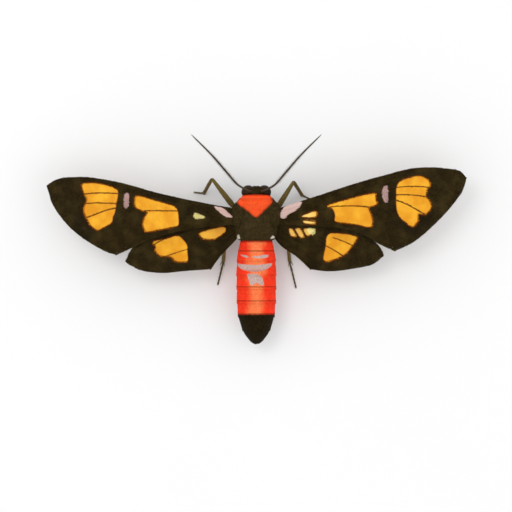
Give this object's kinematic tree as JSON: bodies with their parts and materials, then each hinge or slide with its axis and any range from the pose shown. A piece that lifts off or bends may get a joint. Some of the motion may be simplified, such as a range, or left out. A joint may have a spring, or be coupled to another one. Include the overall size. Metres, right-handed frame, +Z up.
{
  "type": "spotted clearwing moth",
  "caption": "Life-size wasp moth standing with its wings spread flat, its dark wings crossed by orange windows, on its own feet.",
  "frame": {"origin": "on the floor under the middle of the whole moth, midway between the two wing tips and midway between the feeler tips and the tail", "axes": "+X to the moth's right along its spread wings, +Y towards its head, +Z up"},
  "size_m": [0.052, 0.0259, 0.0075],
  "materials": {
    "dark_scales": "brown-black scales and short hair",
    "red_scales": "orange-red scales",
    "wing": "brown-black scaled membrane with clear orange windows",
    "eye": "dark, finely faceted and glossy",
    "feeler": "dark brown horn",
    "leg": "tan-brown scaled shanks"
  },
  "bodies": {
    "root": {"head": "dark_scales", "eye_left": "eye", "eye_right": "eye", "palp_left": "feeler", "palp_right": "feeler", "proboscis": "feeler", "antenna_left": "feeler", "antenna_right": "feeler", "collar": "red_scales", "thorax": "dark_scales", "abdomen": "red_scales", "abdomen_tip": "dark_scales", "forewing_left": "wing", "forewing_right": "wing", "hindwing_left": "wing", "hindwing_right": "wing", "leg_fore_left": "leg", "leg_fore_right": "leg", "leg_mid_left": "leg", "leg_mid_right": "leg", "leg_hind_left": "leg", "leg_hind_right": "leg"}
  },
  "joints": []
}
